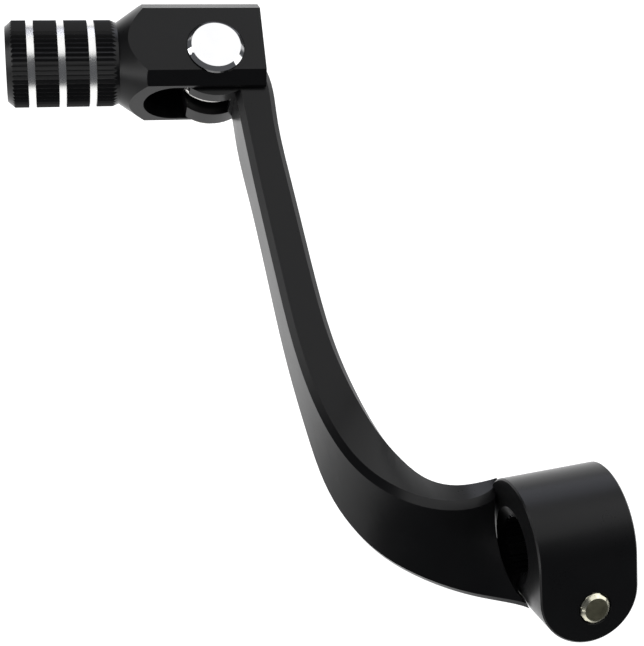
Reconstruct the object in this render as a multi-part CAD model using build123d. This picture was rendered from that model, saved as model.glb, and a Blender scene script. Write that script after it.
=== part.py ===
from build123d import *
from math import acos, atan2, cos, degrees, hypot, radians, sin
import os

# Motorcycle gear shift lever with a folding toe peg. Millimetres.
# Origin: centre of the splined bore. +Y: along the bore, outwards. +X: from the hub towards the toe peg.
# +Z: upwards on the bike, along the peg's pivot pin.

# Splined clamp hub
HUB_RADIUS = 13.25
HUB_HALF = 10.0
SPLINE_TEETH = 24
SPLINE_TIP_RADIUS = 5.5
SPLINE_ROOT_RADIUS = 6.0
SPLINE_TOOTH_SHARE = 0.55
MOUTH_RADIUS = 7.8
MOUTH_DEPTH = 1.3
EDGE_BREAK = 0.3
SCALLOP_DEPTH = 2.3
SCALLOP_SPHERE = 28.6
SCALLOP_FLOOR = -8.2

# Pinch lug: its own frame has x along the lug, y along the bore and z towards the bolt's head
LUG_TILT = 35.0
LUG_ROUND_AT = 6.2
LUG_SLIT = 1.8
JAW_GAP = 0.3
BOLT_AT = 9.3
BOLT_OFFSET_Y = -1.0
BOLT_RADIUS = 2.95
BOLT_TAPPED_RADIUS = 3.0
BOLT_CLEARANCE_RADIUS = 3.2
BOLT_MOUTH_RADIUS = 3.35
BOLT_PROUD = 0.6
BOLT_POINT_RADIUS = 2.5
BOLT_POINT_LENGTH = 0.7
BOLT_LENGTH = 25.0
BOLT_HEAD_RADIUS = 5.0
BOLT_HEAD_HEIGHT = 6.0
BOLT_SOCKET_ACROSS_FLATS = 5.0
BOLT_SOCKET_DEPTH = 3.0
WASHER_RADIUS = 5.4
FLAT_WASHER_THICKNESS = 1.0
LOCK_WASHER_THICKNESS = 1.35
LOCK_WASHER_GAP = 1.2
SPOT_FACE_RADIUS = 5.6

# Arm: a bar with broken edges
ARM_EDGE = 1.1

# Eye at the arm's end, round the pivot pin
PIN_X = 104.0
PIN_Y = 50.6
PIN_Z = 11.0
EYE_RADIUS = 8.8
EYE_HALF = 5.9
EYE_FLAT = 6.0
EYE_BORE_RADIUS = 3.95
EYE_CORE_RADIUS = 5.3
GROOVE_LOW = -2.1
GROOVE_HIGH = 3.3
GROOVE_RADIUS = 7.9
GROOVE_OPEN_ABOVE = -2.0
HEEL_TOP = 9.45
HEEL_SIDE = -9.6

# Toe peg: its own frame has x away from the fold, y along the peg and z along the pin
PEG_LEAN = 6.0
PEG_OFFSET = 2.0
BLOCK_HALF = 9.25
BLOCK_CHAMFER = 2.3
BLOCK_INNER_END = -9.7
CONE_FOOT = 13.6
CONE_FOOT_RADIUS = 11.6
NECK_AT = 18.8
NECK_RADIUS = 8.0
PEG_RADIUS = 8.5
PEG_END = 40.5
PEG_END_CHAMFER = 1.2
KNURL_START = 20.0
KNURL_RIBS = 54
KNURL_DEPTH = 0.32
RING_GROOVE_WIDTH = 1.4
RING_GROOVE_STARTS = (23.2, 29.1, 35.0)
SLOT_HALF = 6.2
SLOT_END = 14.2
ROOF_INNER = 9.6
EAR_BORE_RADIUS = 3.92
HEAD_SEAT_RADIUS = 5.8
HEAD_SEAT_DEPTH = 0.3

# Pivot pin, its washer and its clip
PIN_RADIUS = 3.9
PIN_HEAD_RADIUS = 5.6
PIN_HEAD_PROUD = 1.05
PIN_HEAD_BEVEL = 0.75
PIN_WASHER_RADIUS = 6.6
PIN_WASHER_THICKNESS = 0.8
PIN_CLIP_RADIUS = 6.2
PIN_CLIP_THICKNESS = 0.7
PIN_GROOVE_RADIUS = 3.1
PIN_TAIL = 1.0
PIN_PLAY = 0.05

# Return spring
WIRE_RADIUS = 0.75
SPRING_RADIUS = 6.35
SPRING_FULL_TURNS = 2
SPRING_PITCH = 1.6
FIXED_LEG_LENGTH = 9.0
FREE_LEG_REACH = 11.0

LUG_AXIS = Vector(-cos(radians(LUG_TILT)), 0, -sin(radians(LUG_TILT)))
LUG_REAR = Vector(sin(radians(LUG_TILT)), 0, -cos(radians(LUG_TILT)))
LUG = Plane(origin=(0, 0, 0), x_dir=LUG_AXIS, z_dir=LUG_REAR)
PIN = Plane(origin=(PIN_X, PIN_Y, PIN_Z), x_dir=(1, 0, 0), z_dir=(0, 0, 1))
PEG = Plane(
    origin=(PIN_X, PIN_Y, PIN_Z),
    x_dir=(cos(radians(PEG_LEAN)), -sin(radians(PEG_LEAN)), 0),
    z_dir=(0, 0, 1),
)


def upright(radius, low, high, x=0.0, y=0.0):
    """A cylinder along z between two heights."""
    return Pos(x, y, (low + high) / 2) * Cylinder(radius, high - low)


def along_y(radius, low, high):
    """A cylinder along y between two stations."""
    return Pos(0, (low + high) / 2, 0) * Rot(X=90) * Cylinder(radius, high - low)


def block(x_low, x_high, y_low, y_high, z_low, z_high):
    """A box given by its six faces."""
    centre = Pos((x_low + x_high) / 2, (y_low + y_high) / 2, (z_low + z_high) / 2)
    return centre * Box(x_high - x_low, y_high - y_low, z_high - z_low)


def turned(profile):
    """A solid turned about y from (radius, y) points."""
    return revolve(make_face(Polyline([(r, y, 0) for r, y in profile], close=True)), Axis.Y)


class Station:
    """A cross-section of the arm, placed by the corner where its front and outer side faces meet.

    heading turns the bar's path in plan, from -X at 0 to -Y at 90 degrees. The two twists lean the outer
    side and the front face about that path. back_share narrows the back face.
    """

    def __init__(self, corner, heading, side_twist, front_twist, front_width, side_depth, thickness, back_share):
        h, t, f = (radians(a) for a in (heading, side_twist, front_twist))
        outwards = Vector(-sin(h), cos(h), 0)
        up = Vector(0, 0, 1)
        side_normal = outwards * cos(t) + up * sin(t)
        along_side = outwards * sin(t) - up * cos(t)
        along_front = (outwards * cos(f) + up * sin(f)) * -1
        corner = Vector(*corner)
        self.corners = (
            corner,
            corner + along_front * front_width,
            corner + along_side * side_depth * back_share - side_normal * thickness,
            corner + along_side * side_depth,
        )

    def face(self):
        """The section with its four corners cut back by the edge break."""
        points = []
        for i, corner in enumerate(self.corners):
            for other in (self.corners[i - 1], self.corners[(i + 1) % 4]):
                points.append(corner + (other - corner).normalized() * ARM_EDGE)
        return make_face(Polyline(points, close=True))


# From the eye, straight down the upper bar, round the bend and into the back of the hub
STATIONS = (
    Station((100.0, 47.8, 16.7), 0, 0, 0, 7.4, 11.4, 7.4, 1.0),
    Station((90.0, 47.8, 16.5), 0, 0, 0, 7.4, 11.0, 7.4, 1.0),
    Station((76.0, 47.8, 16.0), 0, 0, 0, 7.4, 10.0, 7.4, 1.0),
    Station((56.0, 47.6, 16.0), 1, 0, 0, 7.5, 10.2, 7.4, 1.0),
    Station((40.0, 46.9, 15.6), 8, 1, 1, 8.0, 11.0, 7.4, 1.0),
    Station((28.0, 44.6, 14.6), 24, 6, 3, 8.8, 12.4, 7.4, 1.0),
    Station((19.5, 40.4, 12.5), 44, 18, 6, 9.2, 14.0, 7.4, 0.96),
    Station((13.4, 33.1, 8.6), 66, 38, 15, 8.8, 15.4, 7.4, 0.90),
    Station((10.4, 25.1, 4.4), 80, 56, 26, 7.2, 16.6, 7.6, 0.84),
    Station((9.6, 16.6, 0.8), 88, 74, 32, 6.2, 18.9, 8.8, 0.78),
    Station((10.4, 12.0, -0.5), 90, 85, 34, 5.4, 21.4, 10.0, 0.74),
    Station((12.6, 8.6, -1.4), 90, 93, 36, 3.0, 26.0, 11.0, 0.72),
)


def spline_cutter():
    """The bore: a round hole at the tooth tips, with a slot for each groove and a chamfer at each mouth."""
    bore = along_y(SPLINE_TIP_RADIUS, -HUB_HALF - 1, HUB_HALF + 1)
    pitch = 360 / SPLINE_TEETH
    half = pitch * (1 - SPLINE_TOOTH_SHARE) / 2
    grooves = []
    for i in range(SPLINE_TEETH):
        low = radians(i * pitch - half)
        high = radians(i * pitch + half)
        inner = SPLINE_TIP_RADIUS - 0.5
        outline = [
            (inner * cos(low), inner * sin(low)),
            (SPLINE_ROOT_RADIUS * cos(low), SPLINE_ROOT_RADIUS * sin(low)),
            (SPLINE_ROOT_RADIUS * cos(high), SPLINE_ROOT_RADIUS * sin(high)),
            (inner * cos(high), inner * sin(high)),
        ]
        wedge = extrude(make_face(Polyline(outline, close=True)), HUB_HALF + 1, both=True)
        grooves.append(Rot(X=90) * wedge)
    apex = HUB_HALF - MOUTH_RADIUS * MOUTH_DEPTH / (MOUTH_RADIUS - SPLINE_TIP_RADIUS)
    mouths = [turned([(0, s * HUB_HALF), (MOUTH_RADIUS, s * HUB_HALF), (0, s * apex)]) for s in (-1, 1)]
    return [bore, *grooves, *mouths]


def lug_outline(start, half=HUB_HALF):
    """The lug seen along the bolt: parallel sides from the given distance, then a full round end."""
    sides = Pos((start + LUG_ROUND_AT) / 2, 0) * Rectangle(LUG_ROUND_AT - start, 2 * half)
    rounding = Pos(LUG_ROUND_AT, 0) * Circle(half)
    return sides + (rounding & (Pos(half, 0) * Rectangle(2 * half, 2 * half)))


def lug():
    """Flat-sided lug from the hub out past the pinch bolt."""
    solid = extrude(lug_outline(0), HUB_RADIUS, both=True)
    rims = solid.edges().filter_by_position(Axis.Z, -HUB_RADIUS, -HUB_RADIUS)
    rims += solid.edges().filter_by_position(Axis.Z, HUB_RADIUS, HUB_RADIUS)
    rims = [e for e in rims if e.center().X > 0.1]
    return LUG * chamfer(rims, EDGE_BREAK)


def beyond_lug():
    """Everything level with the hub that lies outside the lug's round end."""
    level = block(0, 30, -HUB_HALF - 1, HUB_HALF, -30, 30)
    return LUG * (level - extrude(lug_outline(-1), 40, both=True))


def front_jaw_clearance():
    """The front jaw and a thin gap round it, which the arm's root keeps out of."""
    outline = lug_outline(0, HUB_HALF + JAW_GAP)
    return LUG * Pos(0, 0, LUG_SLIT / 2) * extrude(outline, -3 * HUB_RADIUS)


def lug_cutters():
    """Slit, bolt hole, countersink of the tapped end and the head's spot face."""
    seat = bolt_seat()
    slit = block(0, 30, -HUB_HALF - 1, HUB_HALF, -LUG_SLIT / 2, LUG_SLIT / 2)
    x, y = BOLT_AT, BOLT_OFFSET_Y
    tapped = upright(BOLT_TAPPED_RADIUS, -HUB_RADIUS - 1, 0, x, y)
    clearance = upright(BOLT_CLEARANCE_RADIUS, 0, HUB_RADIUS, x, y)
    spot = upright(SPOT_FACE_RADIUS, seat, 3 * HUB_RADIUS, x, y)
    sink = BOLT_MOUTH_RADIUS - BOLT_TAPPED_RADIUS
    mouth = Pos(x, y, -HUB_RADIUS + sink / 2) * Cone(BOLT_MOUTH_RADIUS, BOLT_TAPPED_RADIUS, sink)
    return [LUG * tool for tool in (slit, tapped, clearance, spot, mouth)]


def bolt_seat():
    """Height of the spot face in the lug's frame, from the bolt's length and its two washers."""
    head = BOLT_LENGTH - HUB_RADIUS - BOLT_PROUD
    return head - LOCK_WASHER_THICKNESS - FLAT_WASHER_THICKNESS


def eye_blank():
    """Round eye, flat towards the peg, with a square heel that stops the peg against its roof."""
    eye = PIN * upright(EYE_RADIUS, -EYE_HALF, EYE_HALF)
    eye -= PIN * block(-20, 20, EYE_FLAT, 20, -EYE_HALF, EYE_HALF)
    heel = PEG * block(-3.0, HEEL_TOP, HEEL_SIDE, 0.5, -EYE_HALF, EYE_HALF)
    return eye + heel


def eye_cutters():
    """Pin bore, the spring's groove round the core and the blind hole for its fixed leg."""
    bore = PIN * upright(EYE_BORE_RADIUS, -EYE_HALF - 1, EYE_HALF + 1)
    ring = upright(GROOVE_RADIUS, GROOVE_LOW, GROOVE_HIGH)
    open_side = block(-20, 20, GROOVE_OPEN_ABOVE, 20, GROOVE_LOW, GROOVE_HIGH)
    core = upright(EYE_CORE_RADIUS, GROOVE_LOW - 1, GROOVE_HIGH + 1)
    groove = PIN * (ring + open_side - core)
    hole_radius = WIRE_RADIUS + 0.15
    leg_hole = Pos(-FIXED_LEG_LENGTH / 2 - 0.3, -SPRING_RADIUS, spring_low())
    leg_hole = PIN * leg_hole * Rot(Y=90) * Cylinder(hole_radius, FIXED_LEG_LENGTH + 0.6)
    return [bore, groove, leg_hole]


def mouth_scallop():
    """Shallow dish in the arm's root that keeps it clear of the bore's outer mouth."""
    ball = Pos(0, HUB_HALF + SCALLOP_DEPTH - SCALLOP_SPHERE, 0) * Sphere(SCALLOP_SPHERE)
    return ball & block(-20, 20, HUB_HALF, 20, SCALLOP_FLOOR, 20)


def lever_arm():
    barrel = Rot(X=90) * Cylinder(HUB_RADIUS, 2 * HUB_HALF)
    barrel = chamfer(barrel.edges().filter_by(GeomType.CIRCLE), EDGE_BREAK)
    bar = loft([station.face() for station in STATIONS])
    bar -= front_jaw_clearance()
    body = bar + (barrel - beyond_lug()) + lug() + eye_blank()
    for tool in (mouth_scallop(), *spline_cutter(), *lug_cutters(), *eye_cutters()):
        body -= tool
    return body


def knurled_band(low, high):
    """A ribbed stretch of the peg, along y."""
    outline = []
    for i in range(2 * KNURL_RIBS):
        radius = PEG_RADIUS - KNURL_DEPTH * (i % 2)
        angle = radians(i * 180 / KNURL_RIBS)
        outline.append((radius * cos(angle), radius * sin(angle)))
    band = extrude(make_face(Polyline(outline, close=True)), (high - low) / 2, both=True)
    return Pos(0, (low + high) / 2, 0) * Rot(X=90) * band


def peg_turning():
    """Everything that is turned about the peg's axis, before the ribs are added."""
    cone_slope = (CONE_FOOT_RADIUS - NECK_RADIUS) / (NECK_AT - CONE_FOOT)
    wide = 2 * BLOCK_HALF
    return turned([
        (0, BLOCK_INNER_END),
        (wide, BLOCK_INNER_END),
        (wide, CONE_FOOT - (wide - CONE_FOOT_RADIUS) / cone_slope),
        (NECK_RADIUS, NECK_AT),
        (NECK_RADIUS, PEG_END - PEG_END_CHAMFER),
        (0, PEG_END - PEG_END_CHAMFER),
    ])


def rib_envelope():
    """The shape that trims the ribs at the knurl's run-out and at the peg's end."""
    outer = PEG_RADIUS + 0.1
    return turned([
        (0, NECK_AT),
        (NECK_RADIUS, NECK_AT),
        (outer, KNURL_START + 0.3),
        (outer, PEG_END - PEG_END_CHAMFER - 0.3),
        (PEG_RADIUS - PEG_END_CHAMFER, PEG_END),
        (0, PEG_END),
    ])


def toe_peg():
    block_outline = Rectangle(2 * BLOCK_HALF, 2 * BLOCK_HALF)
    block_outline = chamfer(block_outline.vertices(), BLOCK_CHAMFER)
    bar = Rot(X=90) * extrude(block_outline, PEG_END, both=True)
    body = bar & peg_turning()
    starts = (NECK_AT, *(s + RING_GROOVE_WIDTH for s in RING_GROOVE_STARTS))
    ends = (*RING_GROOVE_STARTS, PEG_END)
    envelope = rib_envelope()
    for low, high in zip(starts, ends):
        body += knurled_band(low, high) & envelope
    body = Pos(PEG_OFFSET, 0, 0) * body
    slot_round = SLOT_END - SLOT_HALF
    slot = block(-20, ROOF_INNER, BLOCK_INNER_END - 1, slot_round, -SLOT_HALF, SLOT_HALF)
    slot += Pos((ROOF_INNER - 20) / 2, slot_round, 0) * Rot(Y=90) * Cylinder(SLOT_HALF, ROOF_INNER + 20)
    bore = upright(EAR_BORE_RADIUS, -BLOCK_HALF - 1, BLOCK_HALF + 1)
    seat = upright(HEAD_SEAT_RADIUS, BLOCK_HALF - HEAD_SEAT_DEPTH, BLOCK_HALF + 1)
    return PEG * (body - slot - bore - seat)


def pivot_pin():
    """Headed pin with a clip groove near its tail, turned about the pivot axis."""
    head_low = BLOCK_HALF - HEAD_SEAT_DEPTH
    head_high = BLOCK_HALF + PIN_HEAD_PROUD
    groove_high = clip_top()
    groove_low = groove_high - PIN_CLIP_THICKNESS
    profile = [
        (0, head_high),
        (PIN_HEAD_RADIUS - PIN_HEAD_BEVEL, head_high),
        (PIN_HEAD_RADIUS, head_high - PIN_HEAD_BEVEL),
        (PIN_HEAD_RADIUS, head_low),
        (PIN_RADIUS, head_low),
        (PIN_RADIUS, groove_high),
        (PIN_GROOVE_RADIUS, groove_high),
        (PIN_GROOVE_RADIUS, groove_low),
        (PIN_RADIUS, groove_low),
        (PIN_RADIUS, groove_low - PIN_TAIL + 0.4),
        (PIN_RADIUS - 0.4, groove_low - PIN_TAIL),
        (0, groove_low - PIN_TAIL),
    ]
    return PIN * Rot(X=90) * turned(profile)


def clip_top():
    """Height of the clip's upper face, below the rear ear and the washer."""
    return -BLOCK_HALF - PIN_WASHER_THICKNESS - 2 * PIN_PLAY


def pin_washer():
    high = -BLOCK_HALF - PIN_PLAY
    low = high - PIN_WASHER_THICKNESS
    ring = upright(PIN_WASHER_RADIUS, low, high) - upright(PIN_RADIUS + PIN_PLAY, low - 1, high + 1)
    return PIN * ring


def retaining_clip():
    """E-shaped clip: an open ring whose three lobes grip the pin's groove."""
    high = clip_top()
    low = high - PIN_CLIP_THICKNESS
    ring = upright(PIN_CLIP_RADIUS, low, high) - upright(PIN_RADIUS + 0.5, low - 1, high + 1)
    for angle in (0, 120, 240):
        ring += Rot(Z=angle) * block(PIN_GROOVE_RADIUS + 0.02, PIN_RADIUS + 1.0, -1.1, 1.1, low, high)
    ring -= upright(PIN_GROOVE_RADIUS + 0.02, low - 1, high + 1)
    mouth = Rot(Z=180) * block(0, 10, -2.6, 2.6, low - 1, high + 1)
    return PIN * (ring - mouth)


def free_leg():
    """Length of the spring's free leg and the angle about the pin at which it leaves the coil."""
    reach = ROOF_INNER - WIRE_RADIUS - 0.1
    distance = hypot(reach, FREE_LEG_REACH)
    length = (distance**2 - SPRING_RADIUS**2) ** 0.5
    leaves_at = degrees(atan2(FREE_LEG_REACH, reach) - acos(SPRING_RADIUS / distance)) - PEG_LEAN
    return length, leaves_at


def spring_height():
    """Rise of the coil from the fixed leg to the free one."""
    leaves_at = free_leg()[1]
    return SPRING_PITCH * (SPRING_FULL_TURNS + (90 + leaves_at) / 360)


def spring_low():
    """Height of the spring's lowest turn, centred in the groove."""
    return (GROOVE_LOW + GROOVE_HIGH - spring_height()) / 2


def return_spring():
    """Torsion spring: close turns round the eye's core, one leg in the arm and one under the peg's roof."""
    low = spring_low()
    high = low + spring_height()
    length, leaves_at = free_leg()
    path = Helix(SPRING_PITCH, high - low, SPRING_RADIUS)
    section = Plane(origin=path @ 0, x_dir=(1, 0, 0), z_dir=path % 0) * Circle(WIRE_RADIUS)
    coil = Pos(0, 0, low) * Rot(Z=-90) * sweep(section, path=path, is_frenet=True)
    fixed = Rot(Y=90) * Cylinder(WIRE_RADIUS, FIXED_LEG_LENGTH)
    fixed = Pos(-FIXED_LEG_LENGTH / 2, -SPRING_RADIUS, low) * fixed
    free = Pos(SPRING_RADIUS, length / 2, high) * Rot(X=90) * Cylinder(WIRE_RADIUS, length)
    return PIN * (coil + fixed + Rot(Z=leaves_at) * free)


def pinch_bolt():
    """Socket-head bolt, its chamfered threaded end just proud of the front jaw."""
    end = -HUB_RADIUS - BOLT_PROUD
    head_low = end + BOLT_LENGTH
    head_high = head_low + BOLT_HEAD_HEIGHT
    shank = upright(BOLT_RADIUS, end + BOLT_POINT_LENGTH, head_low)
    point = Cone(BOLT_POINT_RADIUS, BOLT_RADIUS, BOLT_POINT_LENGTH)
    shank += Pos(0, 0, end + BOLT_POINT_LENGTH / 2) * point
    head = upright(BOLT_HEAD_RADIUS, head_low, head_high)
    rim = head.edges().filter_by(GeomType.CIRCLE).sort_by(Axis.Z)[-1]
    head = chamfer(rim, EDGE_BREAK)
    socket = extrude(RegularPolygon(BOLT_SOCKET_ACROSS_FLATS / 2, 6, major_radius=False), BOLT_SOCKET_DEPTH)
    head -= Pos(0, 0, head_high - BOLT_SOCKET_DEPTH) * socket
    return LUG * Pos(BOLT_AT, BOLT_OFFSET_Y, 0) * (shank + head)


def washer_at(low, thickness):
    """A plain ring on the pinch bolt, in the lug's frame."""
    ring = upright(WASHER_RADIUS, low, low + thickness)
    return ring - upright(BOLT_CLEARANCE_RADIUS, low - 1, low + thickness + 1)


def flat_washer():
    return LUG * Pos(BOLT_AT, BOLT_OFFSET_Y, 0) * washer_at(bolt_seat(), FLAT_WASHER_THICKNESS)


def lock_washer():
    """Split spring washer, closed flat by the bolt."""
    low = bolt_seat() + FLAT_WASHER_THICKNESS
    ring = washer_at(low, LOCK_WASHER_THICKNESS)
    split = Rot(Z=40) * block(0, 10, -LOCK_WASHER_GAP / 2, LOCK_WASHER_GAP / 2, low - 1, low + 5)
    return LUG * Pos(BOLT_AT, BOLT_OFFSET_Y, 0) * (ring - split)


NODES = {
    "lever_arm": lever_arm,
    "toe_peg": toe_peg,
    "pivot_pin": pivot_pin,
    "pin_washer": pin_washer,
    "retaining_clip": retaining_clip,
    "return_spring": return_spring,
    "pinch_bolt": pinch_bolt,
    "flat_washer": flat_washer,
    "lock_washer": lock_washer,
}

os.makedirs("parts", exist_ok=True)
for name, make in NODES.items():
    export_step(make(), f"parts/{name}.step")
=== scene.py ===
import bpy
import math
from mathutils import Matrix, Vector


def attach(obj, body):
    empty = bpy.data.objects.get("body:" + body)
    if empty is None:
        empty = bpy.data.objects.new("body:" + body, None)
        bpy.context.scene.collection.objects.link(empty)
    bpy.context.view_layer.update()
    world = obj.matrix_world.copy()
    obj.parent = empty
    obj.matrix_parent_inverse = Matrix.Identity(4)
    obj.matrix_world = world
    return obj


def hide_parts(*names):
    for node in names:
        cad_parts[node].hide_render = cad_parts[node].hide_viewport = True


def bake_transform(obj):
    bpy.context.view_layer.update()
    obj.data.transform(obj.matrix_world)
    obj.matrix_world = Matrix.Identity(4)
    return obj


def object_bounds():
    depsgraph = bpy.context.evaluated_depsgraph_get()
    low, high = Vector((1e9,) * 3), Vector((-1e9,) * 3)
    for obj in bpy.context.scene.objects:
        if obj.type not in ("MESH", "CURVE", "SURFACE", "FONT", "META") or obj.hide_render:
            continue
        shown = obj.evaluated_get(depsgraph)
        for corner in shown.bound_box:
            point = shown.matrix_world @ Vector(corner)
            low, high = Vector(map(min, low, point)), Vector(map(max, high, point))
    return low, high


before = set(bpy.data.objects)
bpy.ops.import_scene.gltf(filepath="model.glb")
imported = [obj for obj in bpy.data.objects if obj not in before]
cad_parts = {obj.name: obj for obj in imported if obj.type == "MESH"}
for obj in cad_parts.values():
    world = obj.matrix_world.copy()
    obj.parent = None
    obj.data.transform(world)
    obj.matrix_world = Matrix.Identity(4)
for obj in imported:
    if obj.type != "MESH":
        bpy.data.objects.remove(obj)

CAD_BOX = [list(corner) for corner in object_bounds()]
MM = 0.001

# Camera, in the row frame
CAMERA_AT = (-32.6, 101.6, 255.6)
CAMERA_RIGHT = (-0.2141, -0.9614, 0.1728)
CAMERA_DOWN = (-0.9290, 0.1457, -0.3403)
CAMERA_FORWARD = (0.3019, -0.2334, -0.9243)
CAMERA_LENS = 76.96
SENSOR_WIDTH = 36.0

# Peg frame: the pivot, the peg's direction and the sideways direction across it
PIVOT = (104.0, 50.6, 11.0)
PEG_LEAN = 6.0
PEG_OFFSET = 2.0
BARE_GROOVES = ((23.2, 24.6), (29.1, 30.5), (35.0, 36.4))
BARE_RADIUS = 8.07

# Pinch bolt: its frame has z towards the head
LUG_TILT = 35.0
BOLT_AT = 9.3
BOLT_OFFSET_Y = -1.0
BOLT_END = -13.85
BOLT_LENGTH = 25.0
THREAD_RADIUS = 2.95
THREAD_DEPTH = 0.5
THREAD_PITCH = 1.0
POINT_RADIUS = 2.35
POINT_LENGTH = 0.5
END_DISH_INSET = 0.5
END_DISH_DEPTH = 0.04
END_RIM_WIDTH = 0.1
HEAD_RADIUS = 5.0
HEAD_HEIGHT = 6.0
HEAD_FOOT_INSET = 0.5
HEAD_SHOULDER_INSET = 0.25
HEAD_SHOULDER_DROP = 0.2
HEAD_TOP_INSET = 0.7
KNURL_INSET = 0.06
KNURL_DEPTH = 0.12
KNURL_FROM = 0.15
KNURL_TO = 0.8
HEAD_ROWS = (0.05, 0.16, 0.2, 0.76, 0.8, 0.88)
SOCKET_ACROSS_FLATS = 5.0
SOCKET_DEPTH = 3.0
SOCKET_BEVEL = 0.25
SOCKET_TIP_RADIUS = 1.0
SOCKET_TIP_DEPTH = 0.6
BOLT_STEPS = 72
ROWS_PER_PITCH = 10
SHARP_ANGLE = 35

LEVER_MIDDLE = (60, 40, 5)

# Floor: it glows near the lever, less and less between the two distances, and faintly beyond. Metres.
FLOOR_Z = CAD_BOX[0][2]
FLOOR_SIZE = 6.0
FLOOR_COLOUR = (0.3, 0.3, 0.3, 1)
FLOOR_BRIGHT_TO = 0.11
FLOOR_DIM_FROM = 0.4
FLOOR_GLOW_NEAR = 1.05
FLOOR_GLOW_FAR = 0.25

WORLD_COLOUR = (0.9, 0.93, 1.0, 1)
WORLD_STRENGTH = 0.1

# Panel lights: name, direction from the lever's middle, size in metres, radiance, colour
WHITE = (1, 1, 1)
COOL_WHITE = (0.88, 0.9, 1.0)
PANEL_DISTANCE = 0.8
PANELS = (
    ("left", (-0.1, 0.97, 0.20), (1.2, 0.16), 4.5, WHITE),
    ("top", (0.88, -0.36, 0.28), (0.5, 0.5), 2.0, COOL_WHITE),
    ("overhead", (0.38, -0.20, 0.90), (0.9, 0.9), 1.1, WHITE),
    ("right", (0.0, -0.85, 0.53), (0.8, 0.75), 1.4, WHITE),
)

# Sheen of the anodising, under a thin coat
ANODISED_GLOSS = {
    "IOR": 1.5,
    "Specular_IOR_Level": 0.1,
    "Coat_Weight": 0.45,
    "Coat_Roughness": 0.28,
    "Coat_IOR": 1.35,
}
BLAST_DEPTH = 0.000004


def mm(values):
    """A point given in millimetres, as a vector in metres."""
    return Vector(values) * MM


# --- camera, floor and lights ---

def add_camera():
    right = Vector(CAMERA_RIGHT)
    up = -Vector(CAMERA_DOWN)
    back = -Vector(CAMERA_FORWARD)
    data = bpy.data.cameras.new("camera")
    data.sensor_fit = "HORIZONTAL"
    data.sensor_width = SENSOR_WIDTH
    data.lens = CAMERA_LENS
    data.clip_start = 0.01
    data.clip_end = 20.0
    data.dof.use_dof = False
    camera = bpy.data.objects.new("camera", data)
    turn = Matrix((right, up, back)).transposed().to_4x4()
    camera.matrix_world = Matrix.Translation(mm(CAMERA_AT)) @ turn
    bpy.context.collection.objects.link(camera)
    bpy.context.scene.camera = camera


def add_floor():
    mesh = bpy.data.meshes.new("floor")
    half = FLOOR_SIZE / 2
    outline = ((-half, -half), (half, -half), (half, half), (-half, half))
    corners = [(x, y, FLOOR_Z) for x, y in outline]
    mesh.from_pydata(corners, [], [(0, 1, 2, 3)])
    floor = bpy.data.objects.new("floor", mesh)
    bpy.context.collection.objects.link(floor)
    n = Nodes("floor")
    middle = mm(LEVER_MIDDLE)
    centre = (middle.x, middle.y, FLOOR_Z)
    away = n.vector("DISTANCE", n.place, centre, out="Value")
    mesh.materials.append(n.finish(
        Base_Color=FLOOR_COLOUR,
        Roughness=0.9,
        Emission_Color=(1, 1, 1, 1),
        Emission_Strength=n.ramp(away, FLOOR_BRIGHT_TO, FLOOR_DIM_FROM, FLOOR_GLOW_NEAR, FLOOR_GLOW_FAR),
    ))


def add_panel(name, toward, size, radiance, colour):
    """A soft panel light, in a direction from the lever's middle and facing it."""
    data = bpy.data.lights.new(name, "AREA")
    data.shape = "RECTANGLE"
    data.size, data.size_y = size
    data.energy = radiance * math.pi * size[0] * size[1]
    data.color = colour
    light = bpy.data.objects.new(name, data)
    direction = Vector(toward).normalized()
    light.location = mm(LEVER_MIDDLE) + direction * PANEL_DISTANCE
    light.rotation_euler = direction.to_track_quat("Z", "Y").to_euler()
    bpy.context.collection.objects.link(light)


def set_view():
    """Plain display, so that the white floor shows as white."""
    bpy.context.scene.view_settings.view_transform = "Standard"


def add_world():
    world = bpy.data.worlds.new("studio")
    world.use_nodes = True
    background = world.node_tree.nodes["Background"]
    background.inputs["Color"].default_value = WORLD_COLOUR
    background.inputs["Strength"].default_value = WORLD_STRENGTH
    bpy.context.scene.world = world


# --- material nodes ---

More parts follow.
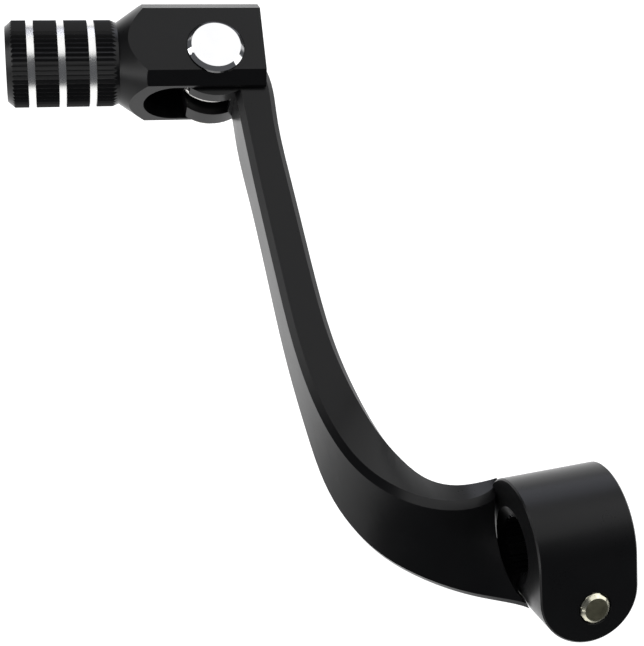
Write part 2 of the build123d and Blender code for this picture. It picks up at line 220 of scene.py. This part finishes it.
class Nodes:
    """Short calls that add nodes to a material and return the output asked for."""

    def __init__(self, name):
        self.material = bpy.data.materials.new(name)
        self.material.use_nodes = True
        self.tree = self.material.node_tree
        self.shader = self.tree.nodes["Principled BSDF"]
        self.place = self.tree.nodes.new("ShaderNodeTexCoord").outputs["Object"]

    def put(self, socket, value):
        """Links an output, or sets a constant, on an input."""
        if isinstance(value, bpy.types.NodeSocket):
            self.tree.links.new(value, socket)
        else:
            socket.default_value = value

    def math(self, operation, *values, clamp=False):
        node = self.tree.nodes.new("ShaderNodeMath")
        node.operation = operation
        node.use_clamp = clamp
        for socket, value in zip(node.inputs, values):
            self.put(socket, value)
        return node.outputs[0]

    def vector(self, operation, *values, out="Vector"):
        node = self.tree.nodes.new("ShaderNodeVectorMath")
        node.operation = operation
        for socket, value in zip(node.inputs, values):
            self.put(socket, value)
        return node.outputs[out]

    def noise(self, scale, detail=3.0, rough=0.55, stretch=(1, 1, 1)):
        """Noise whose scale is in features a metre."""
        node = self.tree.nodes.new("ShaderNodeTexNoise")
        node.inputs["Scale"].default_value = scale
        node.inputs["Detail"].default_value = detail
        node.inputs["Roughness"].default_value = rough
        self.put(node.inputs["Vector"], self.vector("MULTIPLY", self.place, stretch))
        return node.outputs["Fac"]

    def ramp(self, value, low, high, out_low=0.0, out_high=1.0):
        """Maps low..high to out_low..out_high, held at the ends."""
        node = self.tree.nodes.new("ShaderNodeMapRange")
        for name, number in zip(("From Min", "From Max", "To Min", "To Max"), (low, high, out_low, out_high)):
            node.inputs[name].default_value = number
        self.put(node.inputs["Value"], value)
        return node.outputs["Result"]

    def mix(self, share, a, b):
        """Blends two colours."""
        node = self.tree.nodes.new("ShaderNodeMix")
        node.data_type = "RGBA"
        self.put(node.inputs["Factor"], share)
        self.put(node.inputs["A"], a)
        self.put(node.inputs["B"], b)
        return node.outputs["Result"]

    def bump(self, height, depth, under=None):
        """Bump from a 0..1 height. Depth is in metres."""
        node = self.tree.nodes.new("ShaderNodeBump")
        node.inputs["Strength"].default_value = 1.0
        node.inputs["Distance"].default_value = depth
        self.put(node.inputs["Height"], height)
        if under is not None:
            self.put(node.inputs["Normal"], under)
        return node.outputs["Normal"]

    def finish(self, **inputs):
        for name, value in inputs.items():
            self.put(self.shader.inputs[name.replace("_", " ")], value)
        return self.material


def anodised(name):
    """Satin black anodising over a fine blasted surface. Returns the node set, not yet finished."""
    n = Nodes(name)
    n.blast = n.noise(2600, 2.0, 0.6)
    n.cloud = n.noise(90, 3.0)
    n.colour = n.mix(n.cloud, (0.004, 0.004, 0.0045, 1), (0.008, 0.008, 0.0085, 1))
    n.rough = n.math("ADD", n.ramp(n.cloud, 0.3, 0.7, 0.28, 0.34), n.ramp(n.blast, 0.3, 0.7, -0.02, 0.03))
    return n


def arm_material():
    n = anodised("black_anodised_arm")
    return n.finish(
        Base_Color=n.colour,
        Roughness=n.rough,
        Normal=n.bump(n.blast, BLAST_DEPTH),
        **ANODISED_GLOSS,
    )


def between(n, value, low, high, soft=0.00005):
    """1 where value lies between low and high, else 0."""
    rise = n.ramp(value, low - soft, low + soft)
    fall = n.ramp(value, high - soft, high + soft, 1.0, 0.0)
    return n.math("MULTIPLY", rise, fall)


def peg_material():
    """Anodised like the arm, with the three ring grooves cut through to bare aluminium."""
    n = anodised("black_anodised_peg")
    lean = math.radians(PEG_LEAN)
    along = (math.sin(lean), math.cos(lean), 0)
    across = (math.cos(lean), -math.sin(lean), 0)
    local = n.vector("SUBTRACT", n.place, tuple(mm(PIVOT)))
    w = n.vector("DOT_PRODUCT", local, along, out="Value")
    u = n.math("SUBTRACT", n.vector("DOT_PRODUCT", local, across, out="Value"), PEG_OFFSET * MM)
    z = n.vector("DOT_PRODUCT", local, (0, 0, 1), out="Value")
    radius = n.math("SQRT", n.math("ADD", n.math("MULTIPLY", u, u), n.math("MULTIPLY", z, z)))
    bare = 0.0
    for low, high in BARE_GROOVES:
        bare = n.math("ADD", bare, between(n, w, low * MM, high * MM))
    bare = n.math("MULTIPLY", bare, n.ramp(radius, BARE_RADIUS * MM, (BARE_RADIUS + 0.1) * MM, 1.0, 0.0))
    turning = n.noise(9000, 1.0, 0.5, (along[0], along[1], 0.0))
    height = n.math("MULTIPLY", turning, bare)
    return n.finish(
        Base_Color=n.mix(bare, n.colour, (0.86, 0.855, 0.84, 1)),
        Metallic=bare,
        Roughness=n.math("ADD", n.math("MULTIPLY", bare, -0.04), n.rough),
        Normal=n.bump(height, 0.000006, n.bump(n.blast, BLAST_DEPTH)),
        **ANODISED_GLOSS,
    )


def pin_material():
    """Polished steel with faint turning rings round the pin's axis."""
    n = Nodes("polished_pin")
    local = n.vector("MULTIPLY", n.vector("SUBTRACT", n.place, tuple(mm(PIVOT))), (1, 1, 0))
    radius = n.vector("LENGTH", local, out="Value")
    rings = n.math("SINE", n.math("MULTIPLY", radius, 2 * math.pi / 0.00022))
    smear = n.noise(240, 3.0)
    return n.finish(
        Base_Color=n.mix(smear, (0.80, 0.80, 0.81, 1), (0.88, 0.88, 0.88, 1)),
        Metallic=1.0,
        Roughness=n.ramp(smear, 0.3, 0.7, 0.03, 0.06),
        Normal=n.bump(rings, 0.0000004),
    )


def spring_material():
    """Bright drawn wire with lengthwise die marks."""
    n = Nodes("spring_wire")
    grain = n.noise(1400, 3.0, 0.6, (0.4, 0.4, 3.0))
    return n.finish(
        Base_Color=n.mix(grain, (0.52, 0.51, 0.49, 1), (0.72, 0.71, 0.69, 1)),
        Metallic=1.0,
        Roughness=n.ramp(grain, 0.3, 0.7, 0.18, 0.32),
        Normal=n.bump(grain, 0.000006),
    )


def zinc_material(name, dark, light, rough):
    """Zinc plating: mottled, slightly yellow, matt where handled."""
    n = Nodes(name)
    mottle = n.noise(700, 4.0, 0.6)
    fine = n.noise(5200, 2.0, 0.5)
    return n.finish(
        Base_Color=n.mix(mottle, dark, light),
        Metallic=1.0,
        Roughness=n.ramp(mottle, 0.3, 0.7, rough - 0.06, rough + 0.08),
        Normal=n.bump(fine, 0.000003),
    )


def give(node, material):
    """Puts one material on every slot of a CAD node."""
    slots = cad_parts[node].material_slots
    for slot in slots:
        slot.material = material


# --- pinch bolt ---

def bolt_place():
    tilt = math.radians(LUG_TILT)
    along = Vector((-math.cos(tilt), 0, -math.sin(tilt)))
    rear = Vector((math.sin(tilt), 0, -math.cos(tilt)))
    across = rear.cross(along)
    turn = Matrix((along, across, rear)).transposed().to_4x4()
    centre = along * BOLT_AT * MM + Vector((0, BOLT_OFFSET_Y * MM, 0))
    return Matrix.Translation(centre) @ turn


def thread_radius(turns, height):
    """Radius of the bolt's thread: flat crest, V flanks and rounded root, behind a plain tapered point."""
    phase = (height / THREAD_PITCH - turns) % 1.0
    flank = abs(phase - 0.5) * 2
    cut = min(max((flank - 0.12) / 0.76, 0.0), 1.0)
    groove = math.sin(cut * math.pi / 2)
    radius = THREAD_RADIUS - THREAD_DEPTH * groove
    point = POINT_RADIUS + (THREAD_RADIUS - POINT_RADIUS) * height / POINT_LENGTH
    return point if height < POINT_LENGTH else radius


def head_radius(i, share):
    """Radius of the head's side with its straight knurl, which stops short of both rims."""
    rise = KNURL_DEPTH if i % 2 else 0.0
    fade = 1.0 if KNURL_FROM < share < KNURL_TO else 0.0
    return HEAD_RADIUS - KNURL_INSET - rise * fade


def socket_radius(i):
    """Distance from the bolt's axis to the hexagonal socket's wall at that step."""
    angle = (2 * math.pi * i / BOLT_STEPS) % (math.pi / 3) - math.pi / 6
    return SOCKET_ACROSS_FLATS / 2 / math.cos(angle)


def around(radius_at):
    """The radius at each step round the bolt."""
    return [radius_at(i) for i in range(BOLT_STEPS)]


def bolt_rings():
    """Radii and height of each ring of the bolt, from its threaded end to the floor of its socket."""
    low = BOLT_END + BOLT_LENGTH
    high = low + HEAD_HEIGHT
    rings = [
        ([POINT_RADIUS - END_DISH_INSET] * BOLT_STEPS, BOLT_END + END_DISH_DEPTH),
        ([POINT_RADIUS - END_RIM_WIDTH] * BOLT_STEPS, BOLT_END),
    ]
    for j in range(int(BOLT_LENGTH / THREAD_PITCH * ROWS_PER_PITCH)):
        height = j * THREAD_PITCH / ROWS_PER_PITCH
        rings.append((around(lambda i: thread_radius(i / BOLT_STEPS, height)), BOLT_END + height))
    rings.append(([THREAD_RADIUS] * BOLT_STEPS, low))
    rings.append(([HEAD_RADIUS - HEAD_FOOT_INSET] * BOLT_STEPS, low))
    for share in HEAD_ROWS:
        rings.append((around(lambda i: head_radius(i, share)), low + share * HEAD_HEIGHT))
    rings.append(([HEAD_RADIUS - HEAD_SHOULDER_INSET] * BOLT_STEPS, high - HEAD_SHOULDER_DROP))
    rings.append(([HEAD_RADIUS - HEAD_TOP_INSET] * BOLT_STEPS, high))
    rings.append((around(lambda i: socket_radius(i) + SOCKET_BEVEL), high))
    rings.append((around(socket_radius), high - SOCKET_BEVEL))
    rings.append((around(socket_radius), high - SOCKET_DEPTH))
    rings.append(([SOCKET_TIP_RADIUS] * BOLT_STEPS, high - SOCKET_DEPTH - SOCKET_TIP_DEPTH))
    return rings


def bolt_faces(count):
    """Bands of quads between neighbouring rings, then the cap on the threaded end and the socket's floor."""
    faces = []
    for row in range(count - 1):
        a = row * BOLT_STEPS
        b = a + BOLT_STEPS
        for i in range(BOLT_STEPS):
            k = (i + 1) % BOLT_STEPS
            faces.append((a + i, a + k, b + k, b + i))
    last = (count - 1) * BOLT_STEPS
    faces.append(tuple(reversed(range(BOLT_STEPS))))
    faces.append(tuple(range(last, last + BOLT_STEPS)))
    return faces


def pinch_bolt():
    """Socket-head bolt with a real helical thread, a knurled head, a hexagonal socket and a rougher flat end
    whose darker colour is painted shade.
    """
    rings = bolt_rings()
    points = []
    for radii, height in rings:
        for i, radius in enumerate(radii):
            angle = 2 * math.pi * i / BOLT_STEPS
            points.append((radius * math.cos(angle), radius * math.sin(angle), height))
    place = bolt_place()
    mesh = bpy.data.meshes.new("pinch_bolt_detail")
    mesh.from_pydata([place @ mm(point) for point in points], [], bolt_faces(len(rings)))
    mesh.update()
    bolt = bpy.data.objects.new("pinch_bolt_detail", mesh)
    bpy.context.collection.objects.link(bolt)
    mesh.shade_smooth()
    mesh.set_sharp_from_angle(angle=math.radians(SHARP_ANGLE))
    mesh.materials.append(zinc_material("zinc_bolt", (0.62, 0.60, 0.46, 1), (0.78, 0.76, 0.62, 1), 0.2))
    # The threaded end gets a darker, rougher copy of the zinc: the extra roughness is a matt end, the darker
    # colour is painted shade
    mesh.materials.append(zinc_material("zinc_bolt_end_painted_shade", (0.22, 0.21, 0.14, 1), (0.30, 0.29, 0.20, 1), 0.4))
    # The end's dish band and cap take the painted-shade copy
    dish_band = mesh.polygons[:BOLT_STEPS]
    end_cap = mesh.polygons[-2]
    for face in (*dish_band, end_cap):
        face.material_index = 1
    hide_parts("pinch_bolt")
    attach(bolt, "arm")


# --- return spring ---

def wound_spring(material):
    """The return spring: a copy of the CAD spring's mesh in the wire material, shown in place of the CAD
    part.
    """
    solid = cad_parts["return_spring"]
    mesh = solid.data.copy()
    mesh.transform(solid.matrix_world)
    mesh.materials.clear()
    mesh.materials.append(material)
    spring = bpy.data.objects.new("return_spring_wound", mesh)
    bpy.context.collection.objects.link(spring)
    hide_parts("return_spring")
    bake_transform(spring)


add_camera()
add_floor()
add_world()
set_view()
for panel in PANELS:
    add_panel(*panel)

arm = arm_material()
peg = peg_material()
wire = spring_material()
plated = zinc_material("zinc_washers", (0.45, 0.44, 0.38, 1), (0.62, 0.61, 0.55, 1), 0.34)
give("lever_arm", arm)
give("toe_peg", peg)
give("pivot_pin", pin_material())
give("retaining_clip", wire)
for washer in ("pin_washer", "flat_washer", "lock_washer"):
    give(washer, plated)
wound_spring(wire)
pinch_bolt()
